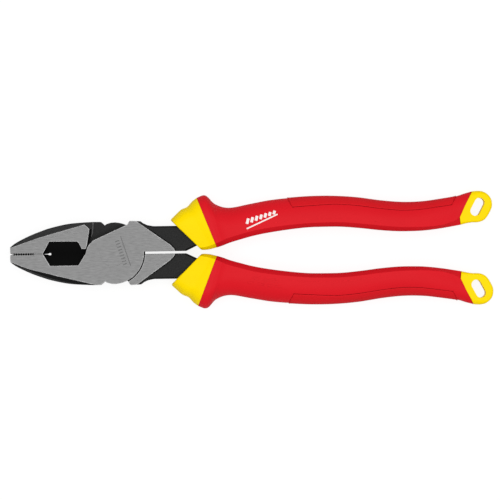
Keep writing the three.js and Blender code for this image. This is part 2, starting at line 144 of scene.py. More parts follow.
# -------------------- handle stations
# Outer point, inner point, thickness, width of the inner chamfer, height of the inner wall, width of the
# outer band, and the share of the width at which the face starts to curve down to the outer edge.
GUARD = [
    ((29.4, 16.6), (45.2, 1.0), 19.0, 1.6, 6.8, 3.0, 0.75),
    ((32.0, 19.0), (47.0, 1.0), 19.9, 1.7, 7.1, 3.0, 0.75),
    ((35.0, 21.7), (48.9, 1.2), 20.8, 1.8, 7.4, 3.2, 0.72),
    ((38.2, 23.15), (50.6, 1.55), 21.7, 1.9, 7.7, 3.4, 0.7),
    ((40.6, 25.75), (51.9, 1.9), 22.9, 1.9, 8.0, 3.6, 0.68),
    ((43.1, 27.65), (53.1, 2.2), 24.0, 2.0, 8.4, 3.8, 0.66),
]
GRIP = [
    ((43.1, 27.65), (53.1, 2.2), 24.0, 2.0, 8.4, 3.8, 0.66),
    ((46.3, 28.9), (54.7, 2.65), 23.8, 2.2, 8.0, 4.2, 0.62),
    ((48.6, 28.15), (56.3, 3.18), 23.2, 2.4, 8.2, 4.8, 0.56),
    ((52.6, 24.2), (59.0, 4.25), 21.8, 2.5, 7.8, 5.0, 0.46),
    ((59.5, 22.35), (63.8, 5.7), 20.8, 2.5, 7.5, 4.9, 0.36),
    ((70, 24.1), (73, 8.1), 20.5, 2.5, 7.4, 4.6, 0.3),
    ((79.5, 25.8), (84.5, 10.05), 20.5, 2.4, 7.4, 4.8, 0.3),
    ((89.2, 26.8), (97.6, 11.57), 20.5, 2.3, 7.4, 5.6, 0.3),
    ((101, 27.5), (107, 11.88), 20.5, 2.3, 7.4, 5.2, 0.3),
    ((113, 27.45), (117, 11.78), 20.5, 2.3, 7.4, 4.4, 0.3),
    ((125, 26.55), (127, 10.9), 20.5, 2.3, 7.4, 4.35, 0.3),
    ((137, 24.8), (136, 9.83), 20.5, 2.3, 7.4, 4.15, 0.3),
    ((148, 23.82), (145, 9.1), 20.3, 2.2, 7.3, 4.3, 0.3),
    ((158, 24.0), (153, 9.0), 19.6, 2.2, 7.0, 4.4, 0.3),
    ((167, 25.1), (160, 9.28), 18.0, 2.1, 6.3, 4.6, 0.3),
    ((175.7, 26.5), (167.1, 10.1), 15.8, 2.0, 5.4, 5.1, 0.32),
    ((179.8, 27.75), (172.6, 10.97), 14.2, 2.9, 4.7, 4.4, 0.4),
    ((183.85, 28.85), (177.7, 11.85), 13.0, 4.7, 4.2, 3.6, 0.5),
]
# Steps of the smooth curve between two stations. The stations at which pieces start and end are counted
# along GRIP.
GRIP_STEPS = 8
INLAY_FROM = 7
INLAY_TO = 15
SLEEVE_TO = 15
TANG_FROM = 3
TANG_TO = 14

OUTER_WALL = 0.22
CROWN_POWER = 2.05
RED_WALL = 2.4
LAYER_GAP = 0.1
TANG_INSET = 4.2
TANG_PLAY = 0.15
# The guard's first four rings are drawn in by these distances to round its rim.
GUARD_RIM = (0.5, 0.12, 0.02, 0.0)
SEAM = 0.05
TAIL_CORNER = (177.2, 16.3)
TAIL_BEND = 2.1
INLAY_DEPTH = 1.2
INLAY_RISE = 0.22
# Distances of the inlay's first rings from its two ends, for the groove round it.
INLAY_RINGS = (0.02, 0.12, 0.34)

# -------------------- hang loop
# Each point of the outline has the radius that rounds the plate's edge there.
LOOP_OUTLINE = [
    (176.5, 26.75, 3.2), (180.2, 27.7, 3.2), (183.85, 28.85, 3.0), (188.2, 28.9, 2.0), (191.3, 27.5, 1.2),
    (193.4, 24.8, 1.1), (193.8, 21.2, 1.1), (192.5, 17.9, 1.1), (190.2, 14.6, 1.1), (187.2, 13.15, 1.1),
    (183.6, 13.0, 1.2), (180.2, 12.45, 1.5), (177.7, 11.85, 2.0), (173.5, 11.2, 2.2),
]
LOOP_HALF = 6.2
SLOT_ROUND = 0.7
SLOT_WIDTH = 5.0
SLOT_LENGTH = 9.8
SLOT_ANGLE = math.radians(62)
SLOT_CENTRE = (186.35, 20.9)

# -------------------- finishes, marks and print
# The finishes of the steel. A face carries its finish's number until the piece gets its materials.
# The finish for recesses is black oxide painted darker still: painted shade inside notches, grooves, steps
# and on the front crescent's first facet.
FINISHES = ("black", "ground", "shaded_recess", "grind", "edge_highlight", "dim_highlight", "mark")
BLACK, GROUND, SHADED_RECESS, GRIND, EDGE_HIGHLIGHT, DIM_HIGHLIGHT, MARK = range(len(FINISHES))

# Marks etched in the joint: a line and a row of strokes beside it.
MARK_CENTRE = (6.5, 1.0)
MARK_TURN = math.radians(108)
MARK_DEPTH = 0.12
MARK_LINE_REACH = 8
MARK_LINE_HALF = 0.2
MARK_STROKES = 9
MARK_STROKE_PITCH = 1.55
MARK_STROKE_PLACE = 2.4
MARK_STROKE_REACH = 1.1
MARK_STROKE_HALF = 0.26

# Print on the upper grip: a line, and a row of slanted blocks whose height falls along the row.
PRINT_LINE = [(68.4, 11.4), (84.3, 18.6)]
PRINT_LINE_HALF = 0.36
PRINT_ROW = [(68.6, 13.9), (82.3, 18.5)]
PRINT_LEAN = math.radians(75)
PRINT_BLOCKS = 7
PRINT_BLOCK_HALF = 0.72
PRINT_HEIGHT = 2.9
PRINT_FALL = 0.9
PRINT_RISE = 0.05
PRINT_SINK = 0.1
STROKE_END = 0.3

# Bars moulded on the lower grip: rows, each with its place across and its bars' places along.
EMBOSS_CENTRE = (76.5, 16.2)
EMBOSS_TURN = math.radians(9)
EMBOSS_ROWS = [(0.9, (-6.4, -1.2, 3.6, 7.9)), (-1.5, (-4.2, 1.4, 6.2))]
EMBOSS_REACH = 1.6
EMBOSS_HALF = 0.55
EMBOSS_RISE = 0.35
EMBOSS_SINK = 0.2



# -------------------- building blocks
def curve_through(points, steps):
    """A smooth curve through rows of numbers, with this many steps between two of them."""
    rows = np.asarray(points, float)
    padded = np.vstack([rows[0], rows, rows[-1]])
    result = []
    for i in range(len(rows) - 1):
        a, b, c, d = padded[i : i + 4]
        for k in range(steps):
            t = k / steps
            cubic = (-a + 3 * b - 3 * c + d) * t**3
            result.append(0.5 * (2 * b + (c - a) * t + (2 * a - 5 * b + 4 * c - d) * t**2 + cubic))
    result.append(rows[-1])
    return np.array(result)


def arc(radius, start, end, steps):
    """Points of an arc about the pivot axis."""
    angles = np.linspace(start, end, steps + 1)
    return [(radius * math.cos(a), radius * math.sin(a)) for a in angles]


def rounded(corners, step=0.35):
    """A closed outline whose corners (x, y, radius) are replaced by arcs."""
    result = []
    for i, corner in enumerate(corners):
        point = Vector(corner[:2])
        if len(corner) < 3:
            result.append(tuple(point))
            continue
        back = Vector(corners[i - 1][:2]) - point
        ahead = Vector(corners[(i + 1) % len(corners)][:2]) - point
        half = back.angle(ahead) / 2
        reach = min(corner[2] / math.tan(half), 0.48 * back.length, 0.48 * ahead.length)
        radius = reach * math.tan(half)
        centre = point + (back.normalized() + ahead.normalized()).normalized() * (radius / math.sin(half))
        first = point + back.normalized() * reach - centre
        last = point + ahead.normalized() * reach - centre
        sweep = first.angle_signed(last)
        count = max(2, round(abs(sweep) * radius / step) + 1)
        for k in range(count + 1):
            turn = -sweep * k / count
            x = first.x * math.cos(turn) - first.y * math.sin(turn)
            y = first.x * math.sin(turn) + first.y * math.cos(turn)
            result.append((centre.x + x, centre.y + y))
    return result


def new_object(name, mesh):
    piece = bpy.data.objects.new(name, mesh)
    bpy.context.scene.collection.objects.link(piece)
    return piece


def add_slots(mesh):
    """Empty material slots, so that cuts keep the number of each face's finish."""
    for _ in FINISHES:
        mesh.materials.append(None)


def prism(outline, floor, ceiling, finish=BLACK):
    """A closed solid over an outline. Its floor and ceiling are heights, or functions of x and y."""

    def level(value, x, y):
        return value(x, y) if callable(value) else value

    form = bmesh.new()
    low = [form.verts.new((x, y, level(floor, x, y))) for x, y in outline]
    high = [form.verts.new((x, y, level(ceiling, x, y))) for x, y in outline]
    form.faces.new(low)
    form.faces.new(high)
    for i in range(len(outline)):
        form.faces.new((low[i - 1], low[i], high[i], high[i - 1]))
    bmesh.ops.remove_doubles(form, verts=form.verts, dist=1e-4)
    bmesh.ops.recalc_face_normals(form, faces=form.faces)
    for face in form.faces:
        face.material_index = finish
    mesh = bpy.data.meshes.new("prism")
    add_slots(mesh)
    form.to_mesh(mesh)
    form.free()
    return new_object("prism", mesh)


def apply_modifiers(piece):
    evaluated = piece.evaluated_get(bpy.context.evaluated_depsgraph_get())
    mesh = bpy.data.meshes.new_from_object(evaluated)
    piece.modifiers.clear()
    piece.data = mesh


def combine(target, tool, operation):
    """Joins a second solid to the first or cuts it away, and removes the second."""
    modifier = target.modifiers.new("combine", "BOOLEAN")
    modifier.object = tool
    modifier.operation = operation
    modifier.solver = "MANIFOLD"
    apply_modifiers(target)
    bpy.data.objects.remove(tool)
    return target


def cut(target, *tools):
    for tool in tools:
        combine(target, tool, "DIFFERENCE")
    return target


def strip(a, b, near, far, overrun):
    """A strip beside the line from a to b, on its right, between two distances, run past both ends."""
    a, b = Vector(a), Vector(b)
    along = (b - a).normalized()
    right = Vector((along.y, -along.x))
    start, end = a - along * overrun, b + along * overrun
    corners = (start + right * near, end + right * near, end + right * far, start + right * far)
    return [tuple(corner) for corner in corners]


def fall(a, b, slope):
    """Height of a plane that meets the ground face on the line from a to b and falls away on its right."""
    along = (Vector(b) - Vector(a)).normalized()
    return lambda x, y: FACE_Z - slope * ((x - a[0]) * along.y - (y - a[1]) * along.x)


def turned(level):
    """The same height, or heights, on the rear side."""
    return (lambda x, y: -level(x, y)) if callable(level) else -level


def cut_faces(target, outline, level):
    """Lowers both faces to a height within an outline."""
    cut(target, prism(outline, level, CLEAR_Z), prism(outline, -CLEAR_Z, turned(level)))


def to_frame(mesh, side):
    """Takes a half's mesh from the drawing to the frame. side is -1 for the half that is turned over."""
    points = np.empty(len(mesh.vertices) * 3)
    mesh.vertices.foreach_get("co", points)
    points = points.reshape(-1, 3) * (1, side, side) * MM + np.array(PIVOT)
    mesh.vertices.foreach_set("co", points.ravel())
    mesh.update()


def weigh_normals(piece):
    """Keeps large faces flat to the light, so that only the rounded edges between them shade smoothly."""
    modifier = piece.modifiers.new("normals", "WEIGHTED_NORMAL")
    modifier.keep_sharp = True
    apply_modifiers(piece)


def finish_piece(name, mesh, side, body, node, materials, sharp=32):
    """Places a copy of a half's mesh, with its body, the CAD node that it stands for and its materials."""
    mesh = mesh.copy()
    to_frame(mesh, side)
    finishes = np.zeros(len(mesh.polygons), np.int32)
    mesh.polygons.foreach_get("material_index", finishes)
    mesh.materials.clear()
    for item in materials:
        mesh.materials.append(item)
    mesh.polygons.foreach_set("material_index", np.minimum(finishes, len(materials) - 1))
    mesh.shade_smooth()
    mesh.set_sharp_from_angle(angle=math.radians(sharp))
    piece = new_object(name, mesh)
    weigh_normals(piece)
    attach(piece, body)
    if node:
        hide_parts(node)
    return piece


# -------------------- handle surfaces
def stations_of(table, steps):
    """A table of stations, drawn out into smooth curves for the edges and straight ones for the rest."""
    flat = [(*row[0], *row[1]) for row in table]
    edges = curve_through(flat, steps)
    at = np.arange(len(edges)) / steps
    rest = np.array([row[2:] for row in table])
    columns = [np.interp(at, np.arange(len(table)), rest[:, k]) for k in range(rest.shape[1])]
    return np.column_stack([edges, *columns])


# Columns of a section's upper side, from the inner edge over the face to the outer edge: part and place in
# it. Two columns lie where the outer band starts, so that a step can be made there.
UPPER_COLUMNS = (
    [("wall", t) for t in (0.5, 1)]
    + [("chamfer", t) for t in (0.1, 0.3, 0.5, 0.7, 0.88, 0.96, 1)]
    + [("face", t) for t in (0.03, 0.1, 0.2, 0.32, 0.44, 0.56, 0.67, 0.77, 0.86, 0.94, 1)]
    + [("band", t) for t in (0, 0.03, 0.08, 0.17, 0.28, 0.4, 0.52, 0.64, 0.75, 0.85, 0.93, 1)]
    + [("side", t) for t in (0.5,)]
)
FIRST_BAND = 1 + [part for part, _ in UPPER_COLUMNS].index("band")
COLUMNS = 2 * len(UPPER_COLUMNS) + 2
BAND_COLUMNS = range(FIRST_BAND, COLUMNS - FIRST_BAND + 1)


def bezier(a, b, c, t):
    return a * (1 - t) ** 2 + 2 * b * t * (1 - t) + c * t**2


def column(part, t, width, half, chamfer, wall, band, crown):
    """Distance from the inner edge, and height, of one column of a section."""
    start, rim = crown * width, OUTER_WALL * half

    def curve(angle):
        across = math.sin(angle) ** (2 / CROWN_POWER)
        return start + across * (width - start), rim + (half - rim) * math.cos(angle) ** (2 / CROWN_POWER)

    reach = max(0.0, (width - band - start) / (width - start))
    border = math.asin(reach ** (CROWN_POWER / 2))
    if part == "wall":
        return 0.0, wall * t
    if part == "chamfer":
        brow = curve(0)[1]
        return bezier(0, 0.35 * chamfer, chamfer, t), bezier(wall, wall + 0.5 * (brow - wall), brow, t)
    if part == "face":
        flat = start - chamfer
        length = flat + (width - band - start)
        along = chamfer + t * length
        if along < start:
            return along, half
        return curve(math.asin(((along - start) / (width - start)) ** (CROWN_POWER / 2)))
    if part == "band":
        return curve(border + t * (math.pi / 2 - border))
    return width, rim * (1 - t)


def sections(stations, inset=0.0):
    """Rings of points on the handle, or a distance inside it, as an array of ring, column and x, y, z."""
    outer, inner = stations[:, 0:2], stations[:, 2:4]
    span = np.linalg.norm(outer - inner, axis=1)
    direction = (outer - inner) / span[:, None]
    rings = []
    for row, length, across in zip(stations, span, direction):
        width, half = length - 2 * inset, row[4] / 2 - inset
        chamfer, wall, band = row[5], row[6] - 0.6 * inset, max(row[7] - inset, 0.4)
        upper = [column(part, t, width, half, chamfer, wall, band, row[8]) for part, t in UPPER_COLUMNS]
        loop = [(0, 0), *upper, (width, 0), *((u, -z) for u, z in reversed(upper))]
        base = row[2:4] + across * inset
        rings.append([(*(base + across * u), z) for u, z in loop])
    return np.array(rings)


def skin(name, rings, close_start=True, close_end=True, finishes=()):
    """A closed mesh over rings of points. finishes gives the first columns' faces a finish."""
    rings = np.asarray(rings)
    count, columns = rings.shape[:2]
    faces = []
    for ring in range(count - 1):
        for k in range(columns):
            a, b = ring * columns + k, ring * columns + (k + 1) % columns
            faces.append((a, b, b + columns, a + columns))
    if close_start:
        faces.append(tuple(reversed(range(columns))))
    if close_end:
        faces.append(tuple(range((count - 1) * columns, count * columns)))
    mesh = bpy.data.meshes.new(name)
    mesh.from_pydata(rings.reshape(-1, 3), [], faces)
    add_slots(mesh)
    for i in range((count - 1) * columns):
        if i % columns < len(finishes):
            mesh.polygons[i].material_index = finishes[i % columns]
    form = bmesh.new()
    form.from_mesh(mesh)
    bmesh.ops.remove_doubles(form, verts=form.verts, dist=1e-4)
    bmesh.ops.recalc_face_normals(form, faces=form.faces)
    form.to_mesh(mesh)
    form.free()
    return mesh


HANDLE = stations_of(GRIP, GRIP_STEPS)


def moved(rows, distance):
    """Stations moved along the handle by a distance."""
    rows = rows.copy()
    across = rows[:, 0:2] - rows[:, 2:4]
    across /= np.linalg.norm(across, axis=1)[:, None]
    along = np.column_stack([across[:, 1], -across[:, 0]]) * distance
    rows[:, 0:2] += along
    rows[:, 2:4] += along
    return rows


# -------------------- steel half
def tang_edges(grow=0.0):
    """The tang's edges from the joint to its end inside the handle, and back."""
    rows = HANDLE[TANG_FROM * GRIP_STEPS : TANG_TO * GRIP_STEPS + 1 : GRIP_STEPS]
    outer, inner = rows[:, 0:2], rows[:, 2:4]
    inward = (inner - outer) / np.linalg.norm(inner - outer, axis=1)[:, None] * (TANG_INSET - grow)
    return [
        *((x, y - grow, *r) for x, y, *r in TANG_INNER),
        *(tuple(p) for p in inner - inward),
        *(tuple(p) for p in (outer + inward)[::-1]),
        *((x, y + grow, *r) for x, y, *r in TANG_OUTER),
    ]


def jaw_outline(rest):
    """The jaw's back, the rest of the outline, and the gripping face and nose."""
    back = [tuple(p) for p in curve_through(JAW_BACK, 8)]
    return rounded([*back, *rest, (TOOTH_START_X, MEETING_Y), NOSE_LIP])


def front_plate():
    """The front half of the thickness: jaw, disc, slot and tang."""
    slot = math.asin(SLOT_HALF / DISC_R)
    disc = [*arc(DISC_R, -1.5, -slot, 40), (SLOT_START, -SLOT_HALF), (SLOT_START, SLOT_HALF)]
    rest = [*HEEL, *disc, *tang_edges(), *SHOULDER, *PLATE_EDGE, (PLATE_EDGE[-1][0], MEETING_Y)]
    return prism(jaw_outline(rest), LAP, FACE_Z)


def slot_step():
    """The front layer of the plate ends at the disc's edge, and leaves a step ahead of the slot, coloured
    with painted shade (the finish for recesses).
    """
    half = SLOT_HALF - OVERLAP
    outline = [(DISC_R, -1), (SHOULDER_R, -1), (SHOULDER_R, half), (DISC_R, half)]
    return prism(outline, SLOT_STEP_Z, CLEAR_Z, SHADED_RECESS)


def rear_jaw():
    return prism(jaw_outline(REAR_JAW_END), -FACE_Z, 2 * LAP)


def rear_tang():
    """The rear half of the tang, hollow where the other half's disc turns in it."""
    tip = SHOULDER[-1]
    hollow = arc(SHOULDER_R, math.atan2(tip[1], tip[0]), math.asin(SLOT_HALF / SHOULDER_R), 40)
    return prism(rounded([*hollow, *tang_edges(), *SHOULDER[:-1]]), -FACE_Z, 2 * LAP)


def lap_fillet():
    """The raised root where the jaw's rear wall meets the lapped plate, painted lighter than the black steel
    as a highlight along the fillet.
    """
    a, b = (Vector(point) for point in REAR_JAW_END[:2])
    width, slope = 0.6, 1.4
    distance = fall(a, b, 1)
    start, tip = strip(a, b, -0.15, width, -0.15)[::3], strip(a, b, -0.15, 0.1, 1.2)[1:3]
    bend = strip(a, b, 0, width, -0.8)[2]

    def floor(x, y):
        return LAP - slope * (width - (FACE_Z - distance(x, y)))

    return prism([start[0], *tip, bend, start[1]], floor, 2 * LAP, DIM_HIGHLIGHT)


def crescent(rows, side, finishes):
    """The cutter of one crescent: two facets that fall away from the ground face to the jaw's back."""
    rings = []
    for ix, iy, rx, ry, ox, oy, ridge, back in curve_through(rows, 5):
        beyond = oy - 4
        ring = [
            (ix, iy, FACE_Z), (rx, ry, FACE_Z - ridge), (ox, oy, FACE_Z - back), (ox, beyond, FACE_Z - back),
            (ox, beyond, CLEAR_Z), (ix, iy, CLEAR_Z),
        ]
        rings.append([(x, y, side * z) for x, y, z in ring])
    return new_object("crescent", skin("crescent", rings, finishes=finishes))


def bevel_jaw(half):
    """The black crescents on the jaw's back, and the facets at the rear jaw's corner and heel."""
    # The front crescent's first facet takes the finish for recesses: painted shade on the slope.
    cut(half, crescent(FRONT_CRESCENT, 1, (SHADED_RECESS, GRIND)), crescent(REAR_CRESCENT, -1, (GRIND, BLACK)))
    for a, b, width, overrun, slope in REAR_FACETS:
        outline = strip(a, b, -OVERLAP, width, overrun)
        cut(half, prism(outline, -CLEAR_Z, turned(fall(a, b, slope)), BLACK))


def chamfer_level(a, b):
    """Height of a chamfer at 45 degrees that starts on the tang's face at the line from a to b."""
    height = fall(a, b, 1)
    return lambda x, y: height(x, y) - FACE_Z + TANG_HALF


def thin_tang(half):
    """Lowers the tang below the ground faces, thins it again inside the handle and chamfers its edges."""
    run = (FACE_Z - TANG_HALF) / TANG_SLOPE
    for a, b in zip(TANG_FACE_EDGE, TANG_FACE_EDGE[1:]):
        cut_faces(half, strip(a, b, -OVERLAP, run, FAR), fall(a, b, TANG_SLOPE))
        cut_faces(half, strip(a, b, run - OVERLAP / 2, FAR, FAR), TANG_HALF)
    cut_faces(half, strip(*TANG_MOUTH, 0, FAR, FAR), HIDDEN_TANG_HALF)
    outer = [corner[:2] for corner in (*TANG_OUTER, SHOULDER[0])]
    inner = [corner[:2] for corner in TANG_INNER[:2]]
    for a, b in [*zip(outer, outer[1:]), *zip(inner, inner[1:])]:
        start, end = strip(a, b, -TANG_CHAMFER, 0, 0)[:2]
        cut_faces(half, strip(a, b, -TANG_CHAMFER - OVERLAP, 2, 0.15), chamfer_level(start, end))


def cut_opening(half):
    """The two cutter notches, which slope to the cutting edge, and the relief at the cutter's front end."""
    slope = (FACE_Z - OPENING_WALL - CUTTER_LAND) / OPENING_DEPTH

    def bevel(x, y):
        return CUTTER_LAND - (y - MEETING_Y) * slope

    front = rounded([*FRONT_OPENING, (FRONT_OPENING[0][0], 1)])
    rear = rounded([*REAR_OPENING, (REAR_OPENING[0][0], 1)])
    # The notches and the relief take the finish for recesses: painted shade inside them.
    cut(
        half,
        prism(front, bevel, CLEAR_Z, SHADED_RECESS),
        prism(rear, -CLEAR_Z, turned(bevel), SHADED_RECESS),
        prism(CUTTER_RELIEF, -CLEAR_Z, CLEAR_Z, SHADED_RECESS),
    )


def cut_teeth(half):
    """A row of grooves across the gripping face at a slant, so that the two jaws' grooves cross."""
    end = TOOTH_START_X + TOOTH_COUNT * TOOTH_PITCH
    relief = [
        (end + 0.4, MEETING_Y), (end + 0.4, 1), (NOSE_X - 1, 1), (NOSE_X - 1, NOSE_GAP_Y),
        (NOSE_X + 0.6, NOSE_GAP_Y), (TOOTH_START_X + 0.2, TOOTH_CREST_Y), (end, TOOTH_CREST_Y),
    ]
    spare = SPARE_TEETH * TOOTH_PITCH
    comb = [(end + spare, 1), (TOOTH_START_X - spare, 1)]
    for i in range(-SPARE_TEETH, TOOTH_COUNT + SPARE_TEETH):
        x = TOOTH_START_X + i * TOOTH_PITCH
        comb += [
            (x, TOOTH_CREST_Y),
            (x + 0.25 * TOOTH_PITCH, TOOTH_ROOT_Y + 0.1),
            (x + 0.4 * TOOTH_PITCH, TOOTH_ROOT_Y),
            (x + 0.6 * TOOTH_PITCH, TOOTH_ROOT_Y),
            (x + 0.75 * TOOTH_PITCH, TOOTH_ROOT_Y + 0.1),
        ]
    comb.append((end + spare, TOOTH_CREST_Y))
    # The grooves and the relief take the finish for recesses: painted shade between the teeth.
    grooves = prism(comb, -FACE_Z, FACE_Z, SHADED_RECESS)
    for point in grooves.data.vertices:
        point.co.x += point.co.z / FACE_Z * TOOTH_SLANT * TOOTH_PITCH
    first, last = TOOTH_START_X - 0.2, end - 0.5
    row = [(first, -2), (last, -2), (last, 0.5), (first, 0.5)]
    combine(grooves, prism(row, -CLEAR_Z, CLEAR_Z, SHADED_RECESS), "INTERSECT")
    cut(half, prism(relief, -CLEAR_Z, CLEAR_Z, SHADED_RECESS), grooves)


def lean_meeting_face(mesh):
    """Tilts the faces where the jaws meet, so that the two halves' faces overlap across the thickness."""
    for point in mesh.vertices:
        x, y, z = point.co
        if x < PLATE_EDGE[-1][0] - 0.2:
            point.co.y += MEETING_LEAN * z * max(0.0, 1 + y / LEAN_DEPTH)


def cut_marks(target):
    """A plain line and a row of short strokes beside it, where the tool's maker would put a mark."""
    along = Vector((math.cos(MARK_TURN), math.sin(MARK_TURN)))
    across = Vector((-along.y, along.x))
    middle = Vector(MARK_CENTRE)
    grooves = [(middle - along * MARK_LINE_REACH, middle + along * MARK_LINE_REACH, MARK_LINE_HALF)]
    reach = across * MARK_STROKE_REACH
    for i in range(MARK_STROKES):
        step = i - (MARK_STROKES - 1) / 2
        centre = middle + across * MARK_STROKE_PLACE + along * step * MARK_STROKE_PITCH
        grooves.append((centre - reach, centre + reach, MARK_STROKE_HALF))
    for a, b, half_width in grooves:
        outline = rounded([(*p, 0.15) for p in strip(a, b, -half_width, half_width, 0)], 0.1)
        cut(target, prism(outline, FACE_Z - MARK_DEPTH, CLEAR_Z, MARK))


def clean(form):
    """Joins the coplanar faces that cuts leave behind."""
    bmesh.ops.dissolve_limit(
        form, angle_limit=0.002, verts=form.verts, edges=form.edges, delimit={"MATERIAL"},
    )
    form.normal_update()


def slope_edges(mesh):
    """Marks the ground faces and gives each a narrow sloping edge with a painted highlight, a dimmer painted
    highlight where the jaws meet.
    """
    form = bmesh.new()
    form.from_mesh(mesh)
    on_faces = [point for point in form.verts if abs(point.co.z) > FACE_Z - 0.001]
    bmesh.ops.remove_doubles(form, verts=on_faces, dist=0.02)
    clean(form)
    level = [face for face in form.faces if abs(face.normal.z) > 0.999]
    ground = [face for face in level if abs(face.calc_center_median().z) > FACE_Z - 0.01]
    inset = bmesh.ops.inset_region(form, faces=ground, thickness=EDGE_WIDTH, use_even_offset=True)
    for face in ground:
        face.material_index = GROUND
    # The edge faces are painted lighter than the ground face as highlights; along the jaws' meeting edge the
    # painted highlight is dimmer.
    for face in inset["faces"]:
        x, y, _ = face.calc_center_median()
        if x < FRONT_OPENING[0][0] and y > -0.3:
            face.material_index = DIM_HIGHLIGHT
        else:
            face.material_index = GROUND if x > DISC_R and abs(y) < 1 else EDGE_HIGHLIGHT
    top = {point for face in ground for point in face.verts}
    for point in set(form.verts) - top:
        point.co.z = max(EDGE_DROP - FACE_Z, min(FACE_Z - EDGE_DROP, point.co.z))
    for face in form.faces:
        if face.normal.x < -0.99 and face.calc_center_median().x < NOSE_X + 0.1:
            face.material_index = GROUND
    form.to_mesh(mesh)
    form.free()


def clean_mesh(mesh, bend=0.0):
    """Joins coinciding points and coplanar faces, and drops points where two edges turn less than bend."""
    form = bmesh.new()
    form.from_mesh(mesh)
    bmesh.ops.remove_doubles(form, verts=form.verts, dist=2e-4)
    clean(form)
    between = [point for point in form.verts if len(point.link_edges) == 2]
    bmesh.ops.dissolve_verts(form, verts=[point for point in between if point.calc_edge_angle(1) < bend])
    form.to_mesh(mesh)
    form.free()


def steel_half():
    """One half of the steel. Its ground faces get their sloping edges before the teeth, hole and marks."""
    half = front_plate()
    combine(half, rear_jaw(), "UNION")
    combine(half, rear_tang(), "UNION")
    bevel_jaw(half)
    cut(half, slot_step())
    combine(half, lap_fillet(), "UNION")
    thin_tang(half)
    cut_opening(half)
    slope_edges(half.data)
    cut_teeth(half)
    cut(half, prism(arc(RIVET_HOLE_R, 0, 2 * math.pi, 96)[:-1], -CLEAR_Z, CLEAR_Z))
    cut_marks(half)
    lean_meeting_face(half.data)
    clean_mesh(half.data)
    mesh = half.data
    bpy.data.objects.remove(half)
    return mesh


# -------------------- moulded handle
def grip_mesh():
    """The outer insulation as a tube with a shallow pocket for the inlay."""
    steps = np.arange(len(HANDLE)) / GRIP_STEPS
    inside = (steps > INLAY_FROM) & (steps < INLAY_TO)
    order = []
    for k, step in enumerate(steps):
        if step == INLAY_FROM:
            order += [(k, False), (k, True)]
        elif step == INLAY_TO:
            order += [(k, True), (k, False)]
        else:
            order.append((k, inside[k]))
    rows = np.array([k for k, _ in order])
    pocketed = np.array([flag for _, flag in order])
    outside = bend_tail(sections(HANDLE))[rows]
    floor = bend_tail(sections(HANDLE, INLAY_DEPTH))[rows]
    bore = bend_tail(sections(HANDLE, RED_WALL))[rows]
    in_pocket = np.zeros(COLUMNS, bool)
    in_pocket[list(BAND_COLUMNS)] = True
    outside = np.where((pocketed[:, None] & in_pocket[None, :])[..., None], floor, outside)
    first = eased_end(outside[0], outside[1], bore[0], 0.06)
    last = eased_end(outside[-1], outside[-2], bore[-1], 0.6)
    rings = np.concatenate([[bore[0]], first, outside[1:-1], last[::-1], bore[::-1]])
    return skin("grip", rings, False, False)


def eased_end(edge, following, bore, radius):
    """Rings that round the edge between an end face and the handle's surface, from the face inwards."""

    def towards(points):
        away = points - edge
        return away / np.maximum(np.linalg.norm(away, axis=1), 1e-6)[:, None]

    along, inward = towards(following), towards(bore)
    angles = np.linspace(0, math.pi / 2, 4)
    return np.array([
        edge + along * radius * (1 - math.cos(a)) + inward * radius * (1 - math.sin(a)) for a in angles
    ])


def bend_tail(rings):
    """Pulls the grip's end back at the crease, where the boundary with the loop has its corner."""
    rings = rings.copy()
    end = rings[-1, :, :2]
    span = np.linalg.norm(np.subtract(GRIP[-1][0], GRIP[-1][1]))
    place = np.linalg.norm(end - end[0], axis=1) / np.linalg.norm(end - end[0], axis=1).max()
    corner = GRIP[-1][3] / span
    pull = np.interp(place, [0, corner, 1], [0, TAIL_BEND, 0])
    for back in range(GRIP_STEPS):
        rings[-1 - back, :, 0] -= pull * (1 - back / GRIP_STEPS) ** 2
    return rings


def inlay_mesh():
    """The soft inlay, a curved shell in the grip's pocket, a little proud of it behind a fine groove."""
    rows = HANDLE[INLAY_FROM * GRIP_STEPS : INLAY_TO * GRIP_STEPS + 1]
    near = [moved(rows[:1], distance) for distance in INLAY_RINGS]
    far = [moved(rows[-1:], -distance) for distance in reversed(INLAY_RINGS)]
    rows = np.vstack([*near, rows[1:-1], *far])

    def grid(inset):
        cells = sections(rows, inset)[:, list(BAND_COLUMNS)]
        cells[:, 0] += 0.85 * (cells[:, 1] - cells[:, 0])
        cells[:, -1] += 0.85 * (cells[:, -2] - cells[:, -1])
        return cells

    count, columns = len(rows), len(BAND_COLUMNS)
    from_end = np.minimum(np.arange(count), np.arange(count)[::-1])
    from_side = np.minimum(np.arange(columns), np.arange(columns)[::-1])
    border = np.minimum(from_end[:, None], from_side[None, :])[..., None]
    top = np.where(border == 0, grid(0.35), np.where(border == 1, grid(0.04), grid(-INLAY_RISE)))
    return skin("inlay", np.concatenate([top, grid(INLAY_DEPTH - 0.05)[:, ::-1]], axis=1))


